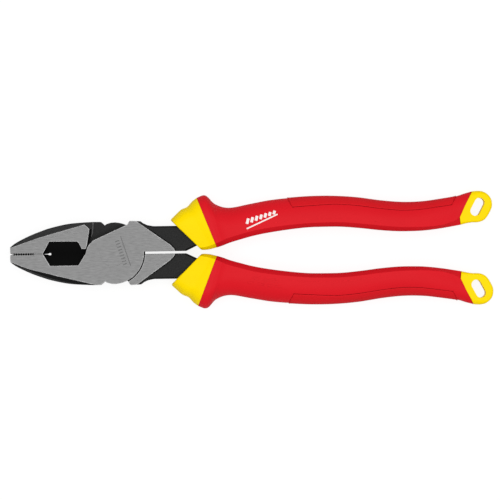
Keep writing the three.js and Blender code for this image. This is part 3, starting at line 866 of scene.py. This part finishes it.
def inner_mesh():
    """Guard and sleeve in one, with the space for the tang."""
    guard = stations_of(GUARD, 6)
    rim = [sections(guard[k : k + 1], inset) for k, inset in enumerate(GUARD_RIM)]
    end = moved(guard[-1:], -SEAM)
    sleeve = HANDLE[: SLEEVE_TO * GRIP_STEPS + 1 : 4]
    under = RED_WALL + LAYER_GAP
    rings = np.concatenate([
        *rim,
        sections(guard[len(rim) : -1]),
        sections(moved(end, -0.06)),
        sections(end, 0.06),
        sections(end, under),
        sections(sleeve[1:], under),
    ])
    solid = new_object("inner", skin("inner", rings))
    outline = rounded(tang_edges(TANG_PLAY))
    mouth = strip(*reversed(TANG_MOUTH), -1, FAR, FAR)
    wide = prism(mouth, -TANG_HALF - TANG_PLAY, TANG_HALF + TANG_PLAY)
    combine(wide, prism(outline, -CLEAR_Z, CLEAR_Z), "INTERSECT")
    narrow = prism(outline, -HIDDEN_TANG_HALF - TANG_PLAY, HIDDEN_TANG_HALF + TANG_PLAY)
    cut(solid, narrow, wide)
    mesh = solid.data
    bpy.data.objects.remove(solid)
    return mesh


def offset_outline(outline, distances):
    """A closed outline with each point moved inwards by its own distance."""
    points = np.asarray(outline)
    along = np.roll(points, -1, axis=0) - np.roll(points, 1, axis=0)
    along /= np.linalg.norm(along, axis=1)[:, None]
    left = np.column_stack([-along[:, 1], along[:, 0]])
    area = np.sum(points[:, 0] * np.roll(points[:, 1], -1) - points[:, 1] * np.roll(points[:, 0], -1))
    return points + left * math.copysign(1, area) * np.asarray(distances)[:, None]


def pillow(outline, radii, half):
    """A plate over an outline, with its upper and lower edges rounded off by a radius for each point."""
    radii = np.asarray(radii)
    angles = np.linspace(0, math.pi / 2, 6)
    upper = []
    for angle in angles:
        ring = offset_outline(outline, radii * (1 - math.cos(angle)))
        height = half - radii * (1 - math.sin(angle))
        upper.append(np.column_stack([ring, height]))
    lower = [ring * (1, 1, -1) for ring in reversed(upper)]
    return np.array([*lower, *upper])


def loop_mesh():
    """The hang loop: a rounded plate with a slot, and its root inside the grip."""
    rows = curve_through(LOOP_OUTLINE, 6)
    plate = new_object("loop", skin("loop", pillow(rows[:, :2], rows[:, 2], LOOP_HALF)))
    up = Vector(GRIP[-1][0]) - Vector(TAIL_CORNER)
    down = Vector(GRIP[-1][1]) - Vector(TAIL_CORNER)
    corner = Vector(TAIL_CORNER) + Vector((SEAM, 0))
    inside = [corner + up * 2, corner, corner + down * 2, (160, 0), (160, 40)]
    cut(plate, prism([tuple(point) for point in inside], -CLEAR_Z, CLEAR_Z))
    reach = (SLOT_LENGTH - SLOT_WIDTH) / 2
    long_axis = Vector((math.cos(SLOT_ANGLE), math.sin(SLOT_ANGLE)))
    slot = []
    for turn in (0, math.pi):
        centre = Vector(SLOT_CENTRE) + long_axis * reach * math.cos(turn)
        for a in np.linspace(-math.pi / 2, math.pi / 2, 17):
            angle = SLOT_ANGLE + turn + a
            x = centre.x + math.cos(angle) * SLOT_WIDTH / 2
            y = centre.y + math.sin(angle) * SLOT_WIDTH / 2
            slot.append((x, y))
    rings = pillow(slot, [-SLOT_ROUND] * len(slot), LOOP_HALF)
    rings = np.concatenate([[rings[0] + (0, 0, -1)], rings, [rings[-1] + (0, 0, 1)]])
    cut(plate, new_object("slot", skin("slot", rings)))
    root = HANDLE[SLEEVE_TO * GRIP_STEPS + 1 :]
    stub = sections(np.vstack([root, moved(root[-1:], 1)]), RED_WALL + LAYER_GAP)
    combine(plate, new_object("root", skin("root", stub)), "UNION")
    clean_mesh(plate.data, 0.06)
    mesh = plate.data
    bpy.data.objects.remove(plate)
    return mesh


def stroke(surface, side, a, b, half_width, rise, sink):
    """A closed raised stroke from a to b that follows the surface below it, with rounded ends."""
    a, b = Vector(a), Vector(b)
    along = (b - a).normalized()
    across = Vector((-along.y, along.x))
    length = (b - a).length
    tips = [STROKE_END * (1 - math.cos(angle)) for angle in np.linspace(0.25, math.pi / 2, 4)]
    middle = np.linspace(STROKE_END, length - STROKE_END, max(3, round(length / 0.8)))[1:-1]
    rings = []
    for place in [*tips, *middle, *(length - tip for tip in reversed(tips))]:
        beyond = max(0.0, 1 - min(place, length - place) / STROKE_END)
        half = half_width - STROKE_END + STROKE_END * math.sqrt(1 - beyond**2)
        row = [a + along * place + across * half * share for share in (-1, -0.5, 0, 0.5, 1)]
        heights = [surface.ray_cast((*point, FAR), (0, 0, -1))[0].z for point in row]
        top = [(*point, side * (height + rise)) for point, height in zip(row, heights)]
        bottom = [(*point, side * (height - sink)) for point, height in zip(row, heights)]
        rings.append(top + bottom[::-1])
    return skin("stroke", rings)


def join(name, meshes):
    """One mesh from several that do not touch."""
    form = bmesh.new()
    for mesh in meshes:
        form.from_mesh(mesh)
    joined = bpy.data.meshes.new(name)
    add_slots(joined)
    form.to_mesh(joined)
    form.free()
    return joined


def print_mesh(surface):
    """Plain white bars printed on the upper grip, in place of a name: slanted blocks over a long line."""
    lean = Vector((math.cos(PRINT_LEAN), math.sin(PRINT_LEAN)))
    shapes = [stroke(surface, 1, *PRINT_LINE, PRINT_LINE_HALF, PRINT_RISE, PRINT_SINK)]
    first, last = (Vector(point) for point in PRINT_ROW)
    for i in range(PRINT_BLOCKS):
        share = i / (PRINT_BLOCKS - 1)
        foot = first.lerp(last, share)
        top = foot + lean * (PRINT_HEIGHT - PRINT_FALL * share)
        shapes.append(stroke(surface, 1, foot, top, PRINT_BLOCK_HALF, PRINT_RISE, PRINT_SINK))
    return join("print", shapes)


def emboss_mesh(surface):
    """Plain low bars moulded on the lower grip, in place of a rating."""
    along = Vector((math.cos(EMBOSS_TURN), math.sin(EMBOSS_TURN)))
    across = Vector((-along.y, along.x))
    reach = along * EMBOSS_REACH
    shapes = []
    for row, bars in EMBOSS_ROWS:
        for place in bars:
            centre = Vector(EMBOSS_CENTRE) + along * place + across * row
            ends = centre - reach, centre + reach
            shapes.append(stroke(surface, -1, *ends, EMBOSS_HALF, EMBOSS_RISE, EMBOSS_SINK))
    return join("emboss", shapes)


# -------------------- materials
class Shader:
    """A procedural material in object coordinates. Texture sizes are in millimetres."""

    def __init__(self, name, roughness, metallic=0.0, specular=0.5):
        self.item = bpy.data.materials.new(name)
        self.item.use_nodes = True
        self.nodes = self.item.node_tree.nodes
        self.links = self.item.node_tree.links
        self.surface = self.nodes["Principled BSDF"]
        self.surface.inputs["Roughness"].default_value = roughness
        self.surface.inputs["Metallic"].default_value = metallic
        self.surface.inputs["Specular IOR Level"].default_value = specular
        self.coordinates = self.nodes.new("ShaderNodeTexCoord")
        self.normal = None

    def noise(self, size, detail=2.0, stretch=(1, 1, 1), turn=0.0, roughness=0.5):
        """A noise value between 0 and 1 whose grains have this size, stretched along each axis."""
        mapping = self.nodes.new("ShaderNodeMapping")
        mapping.vector_type = "TEXTURE"
        mapping.inputs["Scale"].default_value = [size * MM * factor for factor in stretch]
        mapping.inputs["Rotation"].default_value = (0, 0, turn)
        texture = self.nodes.new("ShaderNodeTexNoise")
        texture.inputs["Scale"].default_value = 1
        texture.inputs["Detail"].default_value = detail
        texture.inputs["Roughness"].default_value = roughness
        self.links.new(self.coordinates.outputs["Object"], mapping.inputs["Vector"])
        self.links.new(mapping.outputs["Vector"], texture.inputs["Vector"])
        return texture.outputs["Fac"]

    def spread(self, value, low, high):
        """Takes a noise value to a range of numbers."""
        node = self.nodes.new("ShaderNodeMapRange")
        node.inputs["From Min"].default_value = 0.3
        node.inputs["From Max"].default_value = 0.7
        node.inputs["To Min"].default_value = low
        node.inputs["To Max"].default_value = high
        self.links.new(value, node.inputs["Value"])
        return node.outputs["Result"]

    def blend(self, value, first, second):
        """A colour between two colours. Either may be the output of another blend."""
        node = self.nodes.new("ShaderNodeMix")
        node.data_type = "RGBA"
        self.links.new(value, node.inputs["Factor"])
        for name, colour in (("A", first), ("B", second)):
            socket = next(item for item in node.inputs if item.name == name and item.type == "RGBA")
            if isinstance(colour, tuple):
                socket.default_value = (*colour, 1)
            else:
                self.links.new(colour, socket)
        return next(item for item in node.outputs if item.type == "RGBA")

    def bump(self, value, height, strength=1.0):
        """Adds a relief of this height in millimetres."""
        node = self.nodes.new("ShaderNodeBump")
        node.inputs["Strength"].default_value = strength
        node.inputs["Distance"].default_value = height * MM
        self.links.new(value, node.inputs["Height"])
        if self.normal:
            self.links.new(self.normal, node.inputs["Normal"])
        self.normal = node.outputs["Normal"]

    def finish(self, colour, roughness=None):
        self.links.new(colour, self.surface.inputs["Base Color"])
        if roughness:
            self.links.new(roughness, self.surface.inputs["Roughness"])
        if self.normal:
            self.links.new(self.normal, self.surface.inputs["Normal"])
        return self.item


def grey(value):
    return (value, value, value)


def ground_steel():
    """Surface ground lengthwise: long fine streaks, cloudy patches and a grainy roughness."""
    steel = Shader("ground_steel", 0.42, metallic=0.3)
    streaks = steel.noise(0.55, 3, stretch=(6, 1, 1), roughness=0.6)
    scratches = steel.noise(0.2, 2, stretch=(12, 1, 1))
    clouds = steel.noise(9, 2)
    colour = steel.blend(steel.spread(streaks, 0, 1), grey(0.042), grey(0.138))
    colour = steel.blend(steel.spread(clouds, 0.0, 0.3), colour, grey(0.088))
    colour = steel.blend(steel.spread(scratches, 0.0, 0.35), colour, grey(0.105))
    steel.bump(scratches, 0.004, 0.4)
    return steel.finish(colour, steel.spread(streaks, 0.4, 0.46))


def edge_steel():
    """The sloping edge where a ground face ends: its own steel, painted lighter than the ground face as a
    highlight.
    """
    steel = Shader("edge_steel_painted_highlight", 0.38, metallic=0.5)
    nicks = steel.noise(2.5, 3)
    return steel.finish(steel.blend(steel.spread(nicks, 0, 1), grey(0.11), grey(0.24)))


def black_oxide(name, low, high, roughness):
    """Blackened forged steel with a fine mottle."""
    steel = Shader(name, roughness, metallic=0.1, specular=0.08)
    grain = steel.noise(0.42, 4, roughness=0.65)
    clouds = steel.noise(3.5, 2)
    colour = steel.blend(steel.spread(grain, 0, 1), grey(low), grey(high))
    colour = steel.blend(steel.spread(clouds, 0, 0.5), colour, grey((low + high) / 2))
    steel.bump(grain, 0.05, 0.6)
    return steel.finish(colour, steel.spread(grain, roughness + 0.08, roughness - 0.08))


def ground_black():
    """The jaw's back: blackened over slanted grinding lines."""
    steel = Shader("blackened_grind", 0.5, metallic=0.2, specular=0.2)
    lines = steel.noise(0.3, 2, stretch=(14, 1, 1), turn=math.radians(28))
    grain = steel.noise(0.5, 3)
    colour = steel.blend(steel.spread(lines, 0, 1), grey(0.012), grey(0.036))
    colour = steel.blend(steel.spread(grain, 0, 0.4), colour, grey(0.022))
    steel.bump(lines, 0.03, 0.6)
    return steel.finish(colour)


def plastic(name, colour, shade, roughness, texture_size, relief):
    """Moulded plastic with a fine spark texture and slight flow marks in its colour."""
    skin_shader = Shader(name, roughness, specular=0.04)
    grain = skin_shader.noise(texture_size, 3, roughness=0.6)
    flow = skin_shader.noise(7, 2, stretch=(3, 1, 1))
    mixed = skin_shader.blend(skin_shader.spread(flow, 0, 0.5), colour, shade)
    mixed = skin_shader.blend(skin_shader.spread(grain, 0, 0.4), mixed, shade)
    skin_shader.bump(grain, relief, 0.5)
    return skin_shader.finish(mixed, skin_shader.spread(grain, roughness - 0.06, roughness + 0.06))


MATERIALS = {
    "black": black_oxide("black_oxide", 0.004, 0.014, 0.5),
    "ground": ground_steel(),
    # Painted shade: black oxide made darker for the faces inside recesses.
    "shaded_recess": black_oxide("recess_painted_shade", 0.002, 0.005, 0.7),
    "grind": ground_black(),
    # Painted highlight: the ground faces' edges made lighter than the ground face.
    "edge_highlight": edge_steel(),
    # Painted highlight: black oxide made lighter on the lap fillet and along the jaws' meeting edges.
    "dim_highlight": black_oxide("dim_painted_highlight", 0.10, 0.20, 0.5),
    "mark": black_oxide("etched_mark", 0.10, 0.17, 0.6),
    "white": plastic("white_print", (0.80, 0.74, 0.72), (0.70, 0.60, 0.58), 0.55, 0.3, 0.01),
    "yellow": plastic("yellow_plastic", (0.84, 0.62, 0.0), (0.80, 0.56, 0.0), 0.5, 0.25, 0.02),
    "red": plastic("red_plastic", (0.60, 0.009, 0.016), (0.55, 0.008, 0.014), 0.5, 0.25, 0.02),
    "inlay": plastic("soft_red_inlay", (0.58, 0.009, 0.015), (0.52, 0.008, 0.012), 0.62, 0.4, 0.05),
}
STEEL = [MATERIALS[key] for key in FINISHES]


# -------------------- assembly
MESHES = {
    "steel": steel_half(),
    "inner": inner_mesh(),
    "loop": loop_mesh(),
    "grip": grip_mesh(),
    "inlay": inlay_mesh(),
}

# The pieces of a handle: name, mesh, CAD node, slot and material.
HANDLE_PIECES = [
    ("guard_and_sleeve", "inner", "inner_insulation", "inner_insulation", "yellow"),
    ("loop", "loop", "hang_loop", "inner_insulation", "yellow"),
    ("grip", "grip", "outer_grip", "outer_insulation", "red"),
    ("inlay", "inlay", "grip_inlay", "grip_inlay", "inlay"),
]

for body, side, jaw, handle in (("front_half", 1, "front", "upper"), ("rear_half", -1, "rear", "lower")):
    node = f"{jaw}_jaw_and_tang"
    finish_piece(f"{jaw}_steel_half", MESHES["steel"], side, body, node, STEEL)
    for name, mesh, node, slot, material in HANDLE_PIECES:
        looks = [MATERIALS[material]]
        finish_piece(f"{handle}_{name}", MESHES[mesh], side, body, f"{handle}_{node}", looks)

grip_points = [point.co for point in MESHES["grip"].vertices]
grip_surface = BVHTree.FromPolygons(grip_points, [face.vertices for face in MESHES["grip"].polygons])
white, red = [MATERIALS["white"]], [MATERIALS["red"]]
finish_piece("upper_grip_print", print_mesh(grip_surface), 1, "front_half", None, white)
finish_piece("lower_grip_relief", emboss_mesh(grip_surface), -1, "rear_half", None, red)

rivet = prism(arc(RIVET_R, 0, 2 * math.pi, 96)[:-1], -FACE_Z, FACE_Z, GROUND)
cut_marks(rivet)
finish_piece("rivet", rivet.data, 1, "front_half", "pivot_rivet", STEEL)
bpy.data.objects.remove(rivet)

# -------------------- stage, light and camera
AIM = PIVOT + Vector((69.94, 0.58, 0)) * MM
VIEW_WIDTH = 0.255
DISTANCE = 2.2
LIGHT_HEIGHT = 2.6
TILT = math.radians(0.87)


def floor():
    size = 3
    mesh = bpy.data.meshes.new("floor")
    corners = [(-size, -size, 0), (size, -size, 0), (size, size, 0), (-size, size, 0)]
    mesh.from_pydata(corners, [], [(0, 1, 2, 3)])
    backdrop = Shader("backdrop", 0.9, specular=0.0)
    clouds = backdrop.noise(40, 2)
    backdrop.surface.inputs["Emission Color"].default_value = (1, 1, 1, 1)
    backdrop.surface.inputs["Emission Strength"].default_value = 0.88
    colour = backdrop.blend(backdrop.spread(clouds, 0, 1), grey(0.12), grey(0.13))
    mesh.materials.append(backdrop.finish(colour))
    piece = new_object("floor", mesh)
    piece.location.z = -0.0002


def area_light(name, place, size, power):
    data = bpy.data.lights.new(name, "AREA")
    data.shape = "DISK"
    data.size = size
    data.energy = power
    lamp = new_object(name, data)
    lamp.location = place
    lamp.rotation_euler = (Vector(place) - AIM).to_track_quat("Z", "Y").to_euler()


def camera():
    data = bpy.data.cameras.new("camera")
    data.sensor_width = 36
    data.lens = data.sensor_width * (DISTANCE - FACE_Z * MM) / VIEW_WIDTH
    item = new_object("camera", data)
    item.location = AIM + Vector((0, 0, DISTANCE))
    item.rotation_euler = (0, 0, -TILT)
    bpy.context.scene.camera = item


floor()
camera()
area_light("overhead", (AIM.x, AIM.y, LIGHT_HEIGHT), 2.2, 75)
world = bpy.data.worlds.new("world")
world.use_nodes = True
world.node_tree.nodes["Background"].inputs["Color"].default_value = (1, 1, 1, 1)
world.node_tree.nodes["Background"].inputs["Strength"].default_value = 0.3
bpy.context.scene.world = world
bpy.context.scene.view_settings.view_transform = "Standard"
